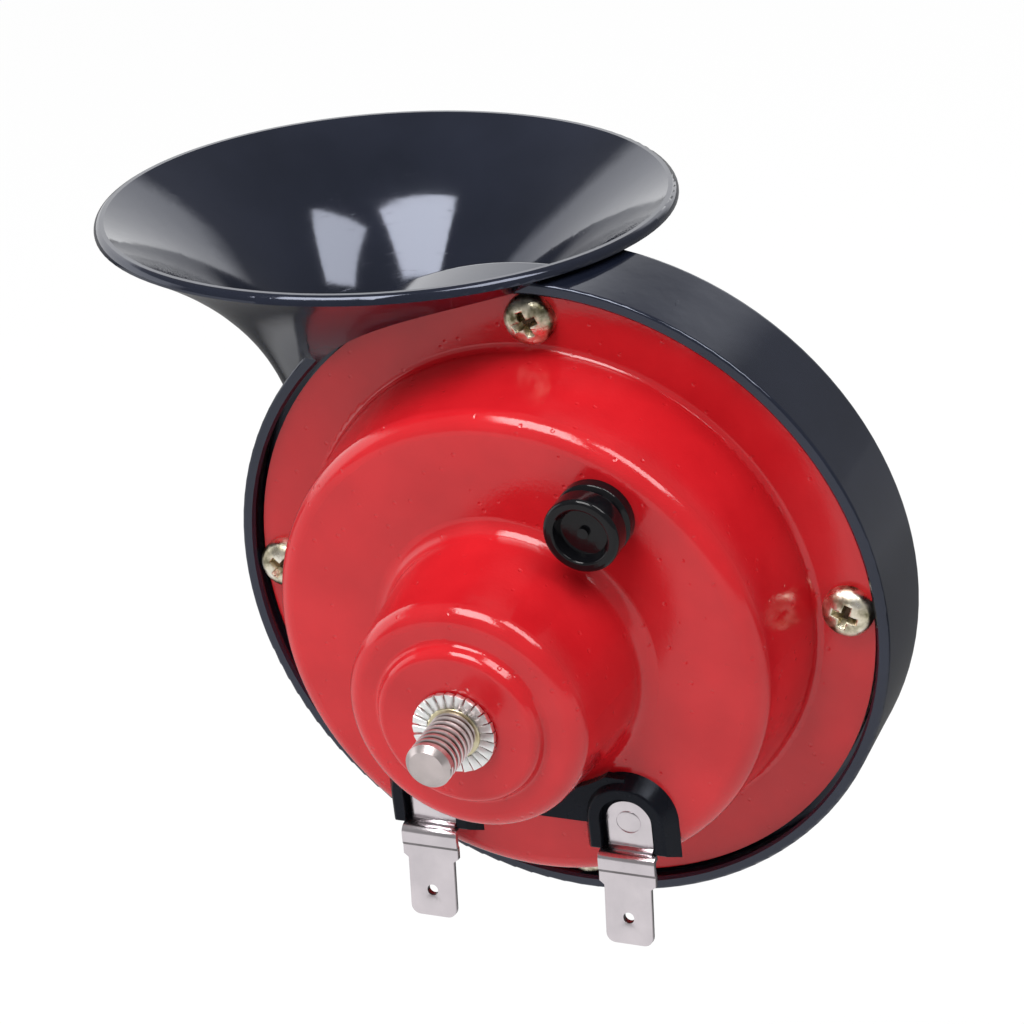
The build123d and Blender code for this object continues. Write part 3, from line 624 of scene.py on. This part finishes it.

# The wall of the detent hole and the pressed line get painted shade: a dark nickel.
shaded_nickel = bare_metal(
    "shaded_nickel", (0.16, 0.15, 0.15), (0.26, 0.24, 0.25), (0.3, 0.45), 300, (1, 1, 1)
)
paint(nickel, blade)
blade.data.materials.append(shaded_nickel)
for face in blade.data.polygons:
    middle = face.center / mm
    from_hole = math.hypot(middle.x - blade_place, middle.z - detent_height)
    in_hole = from_hole < detent_radius + 0.04 and abs(face.normal.y) < 0.5
    in_line = lip_bottom - 0.45 < middle.z < lip_bottom - 0.02 and face.normal.y < -0.3
    face.material_index = 1 if in_hole or in_line else 0
to_left = Matrix.Translation((-2 * blade_place * mm, 0, 0))
for side in ("right", "left"):
    piece = blade if side == "right" else copy_of(blade, to_left)
    piece.name = "blade_" + side
    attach(piece, "horn")
    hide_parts("terminal_" + side)

# ---- blade rivets ---------------------------------------------------------------
# Plain brass rivets in the same nickel plate, set from behind through lug, strip,
# carrier and blade, with a very low head on the blade and a domed one inside.
rivet_radius, head_round, inner_end = 1.4, 1.6, 22.45
rivet = bar("blade_rivets", rivet_radius, foot_front, inner_end, 40, blade_place, rivet_height)
edit(rivet)
low_head = (
    (head_round, foot_front),
    (head_round, foot_front - 0.04),
    (head_round - 0.15, foot_front - 0.11),
    (head_round - 0.6, foot_front - 0.14),
)
turn_steps(rivet, (rivet_radius, foot_front), *low_head, x=blade_place, z=rivet_height)
pick_faces(rivet, lambda middle, normal: normal.y > 0.99 and abs(middle.y - inner_end) < 0.01)
rivet_axis = (blade_place * mm, 0, rivet_height * mm)
for step, grow in ((0.05, 1.5), (0.3, 1.0), (0.35, 0.75)):
    bpy.ops.mesh.extrude_region_move(TRANSFORM_OT_translate={"value": (0, step * mm, 0)})
    bpy.ops.transform.resize(value=(grow, 1, grow), center_override=rivet_axis)
finish_edit(35)
paint(nickel, rivet)
join_to(rivet, [copy_of(rivet, to_left)])
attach(rivet, "horn")
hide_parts("terminal_rivets")

# ---- leads ----------------------------------------------------------------------
# Ends of the enamelled copper wire, bent from joint to joint inside the drum:
# from the coil to a terminal and to the breaker, and on to the other terminal.
lead_copper, shader, tree, place = copper("lead_copper")
bump(tree, shader, noise(tree, place, 1500, 3), 0.2, 0.00003)
for lead in ("lead_coil_terminal", "lead_coil_breaker", "lead_breaker_terminal"):
    paint(lead_copper, nodes[lead])

# ---- cover screws ---------------------------------------------------------------
# Four thread-forming pan-head screws, yellow zinc plated and darkened by the
# dichromate, driven through the flange into posts of the housing.
screw_circle, screw_angles, head_turns = 38.6, (3, 90, 180, 270), (20, 65, 40, 10)
flange_station = 35.65
head_radius, head_rim = 3.3, 34.9
shank_radius, shank_end, point_length = 1.75, 42.85, 0.8
recess_length, recess_depth, recess_width, recess_station = 4.4, 2.4, 1.25, 33.6
dome = (
    (3.24, 34.55),
    (3.05, 34.15),
    (2.7, 33.76),
    (2.15, 33.47),
    (1.4, 33.31),
    (0.6, 33.26),
)
screw = bar("cover_screws", head_radius, head_rim, flange_station, 48)
edit(screw)
turn_steps(screw, (head_radius, head_rim), *dome)
bpy.ops.object.mode_set(mode="OBJECT")
shank = bar("shank", shank_radius, flange_station - 0.2, shank_end, 32)
edit(shank)
pick_faces(shank, lambda middle, normal: normal.y > 0.99)
point = (0, point_length * mm, 0)
bpy.ops.mesh.extrude_region_move(TRANSFORM_OT_translate={"value": point})
shank_tip = (0, (shank_end + point_length) * mm, 0)
bpy.ops.transform.resize(value=(0.3, 1, 0.3), center_override=shank_tip)
bpy.ops.object.mode_set(mode="OBJECT")
cut(screw, shank, "UNION")

# Two wings, tapered to their bottom, cut the cross recess.
wing_middle = (0, recess_station * mm, 0)
wing_bottom = (0, (recess_station + recess_depth / 2) * mm, 0)
wing_size = (recess_length, recess_depth, recess_width)
for turn in (0, 90):
    bpy.ops.object.select_all(action="DESELECT")
    bpy.ops.mesh.primitive_cube_add(size=mm, location=wing_middle)
    wing = bpy.context.object
    settle()
    edit(wing)
    bpy.ops.mesh.select_all(action="SELECT")
    bpy.ops.transform.resize(value=wing_size, center_override=wing_middle)
    pick_faces(wing, lambda middle, normal: normal.y > 0.9)
    bpy.ops.transform.resize(value=(0.45, 1, 0.45), center_override=wing_bottom)
    bpy.ops.object.mode_set(mode="OBJECT")
    wing.matrix_world = Matrix.Rotation(math.radians(turn), 4, "Y")
    settle()
    cut(screw, wing)

# The rim of the recess, between the dome and the steep walls, is rounded.
edit(screw)
bpy.ops.mesh.select_mode(type="EDGE")
bpy.ops.mesh.select_all(action="DESELECT")
shape = bmesh.from_edit_mesh(screw.data)
rim_reach, rim_back = (recess_length / 2 + 0.2) * mm, (recess_station + 0.1) * mm
for edge in shape.edges:
    slopes = sorted(abs(face.normal.y) for face in edge.link_faces)
    ends = [end.co for end in edge.verts]
    near = all(math.hypot(end.x, end.z) < rim_reach and end.y < rim_back for end in ends)
    if near and len(slopes) == 2 and slopes[0] < 0.6 < slopes[1]:
        edge.select_set(True)
bmesh.update_edit_mesh(screw.data)
bpy.ops.mesh.bevel(offset=0.1 * mm, segments=2, affect="EDGES")
finish_edit(40)
copies, spots = [], []
for angle, turn in zip(screw_angles, head_turns):
    away = math.radians(angle)
    spot = Vector((math.cos(away), 0, math.sin(away))) * screw_circle
    turned = Matrix.Rotation(math.radians(turn), 4, "Y")
    copies.append(copy_of(screw, Matrix.Translation(spot * mm) @ turned))
    spots.append(spot)
bpy.data.objects.remove(screw)
screws = copies[0]
join_to(screws, copies[1:])
screws.name = "pan_screws"

yellow_zinc, shader, tree, place = new_material("yellow_zinc", (0.4, 0.36, 0.24), 0.3, 1.0)
dichromate = (
    (0.33, (0.12, 0.11, 0.06)),
    (0.42, (0.45, 0.41, 0.29)),
    (0.52, (0.82, 0.75, 0.59)),
    (0.64, (0.98, 0.93, 0.82)),
)
vary(tree, shader, "Base Color", noise(tree, place, 420, 5), *dichromate)
vary(tree, shader, "Roughness", noise(tree, place, 800, 4), (0.3, 0.2), (0.7, 0.48))
bump(tree, shader, noise(tree, place, 1600, 4), 0.8, 0.00008)
# Painted shade in the cross recesses: recess_shade is a dark brown mottled metal.
recess_shade, shader, tree, place = new_material("recess_shade", (0.05, 0.03, 0.015), 0.5, 0.6)
recess_shade_mottle = noise(tree, place, 900, 3)
vary(tree, shader, "Base Color", recess_shade_mottle, (0.3, (0.03, 0.018, 0.008)), (0.7, (0.12, 0.07, 0.04)))
bump(tree, shader, noise(tree, place, 1600, 3), 0.3, 0.00003)
paint(yellow_zinc, screws)
screws.data.materials.append(recess_shade)
# Faces inside each cross recess take the painted shade.
for face in screws.data.polygons:
    middle = face.center / mm
    away = min(math.hypot(middle.x - spot.x, middle.z - spot.z) for spot in spots)
    if away < recess_length / 2 + 0.1 and recess_station + 0.2 < middle.y < head_rim:
        face.material_index = 1
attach(screws, "horn")
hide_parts("cover_screws")

# ---- studio ---------------------------------------------------------------------
# A plain white floor some way below the horn, two soft boxes above it, and a dim
# room with one pale wall. The camera itself sees plain white round the horn.
centre = Vector((-0.0009, 0.02565, 0.01663))
floor_drop = 0.16


def combined(tree, operation, first, second):
    """Two values, or a value and a number, through one sum."""
    node = tree.nodes.new("ShaderNodeMath")
    node.operation = operation
    tree.links.new(first, node.inputs[0])
    if isinstance(second, float):
        node.inputs[1].default_value = second
    else:
        tree.links.new(second, node.inputs[1])
    return node.outputs[0]


bpy.ops.object.select_all(action="DESELECT")
bpy.ops.mesh.primitive_plane_add(size=6, location=(0, 0, -floor_drop))
floor = bpy.context.object
floor.name = "floor"
floor_white, shader, tree, place = new_material("floor_white", (0.85, 0.85, 0.85), 0.6)
shader.inputs["Specular IOR Level"].default_value = 0.0

# Camera, glossy and transmission rays see a glow in place of the lit floor, and
# the camera keeps a tenth of the lit floor, with the horn's shadow. In the horn's
# gloss the glow is darkest a little behind the horn.
rays = tree.nodes.new("ShaderNodeLightPath").outputs
mirror_rays = combined(tree, "MAXIMUM", rays["Is Glossy Ray"], rays["Is Transmission Ray"])
seen = combined(tree, "MAXIMUM", rays["Is Camera Ray"], mirror_rays)
shadow_share = combined(tree, "MULTIPLY", rays["Is Camera Ray"], -0.1)
depth = tree.nodes.new("ShaderNodeSeparateXYZ")
tree.links.new(place, depth.inputs[0])
mirrored = ramp(tree, depth.outputs["Y"], (0.0, 0.85), (0.14, 0.5), (0.19, 0.08), (0.5, 0.34))
glow = tree.nodes.new("ShaderNodeEmission")
shine = combined(tree, "MAXIMUM", mirrored, rays["Is Camera Ray"])
tree.links.new(shine, glow.inputs["Color"])
mix = tree.nodes.new("ShaderNodeMixShader")
tree.links.new(combined(tree, "ADD", seen, shadow_share), mix.inputs["Fac"])
tree.links.new(shader.outputs[0], mix.inputs[1])
tree.links.new(glow.outputs[0], mix.inputs[2])
tree.links.new(mix.outputs[0], tree.nodes["Material Output"].inputs["Surface"])
paint(floor_white, floor)
floor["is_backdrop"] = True

world = bpy.data.worlds.new("studio")
bpy.context.scene.world = world
world.use_nodes = True
tree = world.node_tree
room = tree.nodes["Background"]
room.inputs["Strength"].default_value = 2.0
sky = tree.nodes.new("ShaderNodeTexCoord").outputs["Generated"]


def facing(tree, sky, direction):
    """How far a direction of the room points the given way, 1 for straight."""
    side = tree.nodes.new("ShaderNodeVectorMath")
    side.operation = "DOT_PRODUCT"
    side.inputs[1].default_value = Vector(direction).normalized()
    tree.links.new(sky, side.inputs[0])
    return side.outputs["Value"]


# The pale wall is behind the horn on its left and reaches about thirty degrees
# up. The rest is dim, with a soft fill from the front left for diffuse rays alone.
height = tree.nodes.new("ShaderNodeSeparateXYZ")
tree.links.new(sky, height.inputs[0])
low = ramp(tree, height.outputs["Z"], (0.44, 1.0), (0.54, 0.0))
towards_wall = ramp(tree, facing(tree, sky, (-0.75, 0.66, 0)), (0.3, 0.05), (0.5, 0.78))
wall = combined(tree, "MULTIPLY", low, towards_wall)
wall_and_ceiling = combined(tree, "MAXIMUM", wall, 0.14)
from_left = ramp(tree, facing(tree, sky, (-0.8, -0.58, -0.15)), (0.0, 0.12), (0.65, 0.76))
rays = tree.nodes.new("ShaderNodeLightPath").outputs
soft_fill = combined(tree, "MULTIPLY", from_left, rays["Is Diffuse Ray"])
tree.links.new(combined(tree, "MAXIMUM", wall_and_ceiling, soft_fill), room.inputs["Color"])
white = tree.nodes.new("ShaderNodeBackground")
white.inputs["Color"].default_value = (1, 1, 1, 1)
mix = tree.nodes.new("ShaderNodeMixShader")
tree.links.new(rays["Is Camera Ray"], mix.inputs["Fac"])
tree.links.new(room.outputs[0], mix.inputs[1])
tree.links.new(white.outputs[0], mix.inputs[2])
tree.links.new(mix.outputs[0], tree.nodes["World Output"].inputs["Surface"])


def soft_box(name, direction, across, distance, size, radiance):
    """Rectangular lamp that faces the horn, its width along the given line."""
    lamp = bpy.data.lights.new(name, "AREA")
    lamp.shape = "RECTANGLE"
    lamp.size, lamp.size_y = size
    lamp.energy = radiance * math.pi * size[0] * size[1]
    box = bpy.data.objects.new(name, lamp)
    bpy.context.scene.collection.objects.link(box)
    away = Vector(direction).normalized()
    box.location = centre + away * distance
    along_height = away.cross(Vector(across)).normalized()
    along_width = along_height.cross(away)
    box.rotation_euler = Matrix((along_width, along_height, away)).transposed().to_euler()


box_distance = 0.9
soft_box("right_box", (0.5, 0.03, 0.79), (0.12, 0.385, 0), box_distance, (0.37, 0.48), 7.5)
soft_box("top_box", (-0.1, -0.34, 0.9), (1, 0.08, 0), box_distance, (0.46, 0.56), 9.8)

# ---- camera ---------------------------------------------------------------------
# From the right and above, a little tilted, with a long lens, so that the horn
# fills the frame with its stud and blades towards the viewer.
view_azimuth = math.radians(25.43)
view_elevation = math.radians(27.97)
view_roll = math.radians(6.6)
view_distance, focal_length, sensor_width = 0.5, 142.75, 36
back = Vector(
    (
        math.sin(view_azimuth) * math.cos(view_elevation),
        -math.cos(view_azimuth) * math.cos(view_elevation),
        math.sin(view_elevation),
    )
)
right = Vector((math.cos(view_azimuth), math.sin(view_azimuth), 0))
up = back.cross(right)
rolled_right = right * math.cos(view_roll) - up * math.sin(view_roll)
rolled_up = up * math.cos(view_roll) + right * math.sin(view_roll)
lens = bpy.data.cameras.new("camera")
lens.sensor_width = sensor_width
lens.lens = focal_length
camera = bpy.data.objects.new("camera", lens)
bpy.context.scene.collection.objects.link(camera)
turn = Matrix((rolled_right, rolled_up, back)).transposed().to_4x4()
camera.matrix_world = Matrix.Translation(centre + back * view_distance) @ turn
bpy.context.scene.camera = camera

bpy.context.scene.view_settings.view_transform = "Standard"

size = {"cad": [list(corner) for corner in cad_box], "visual": [list(c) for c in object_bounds()]}
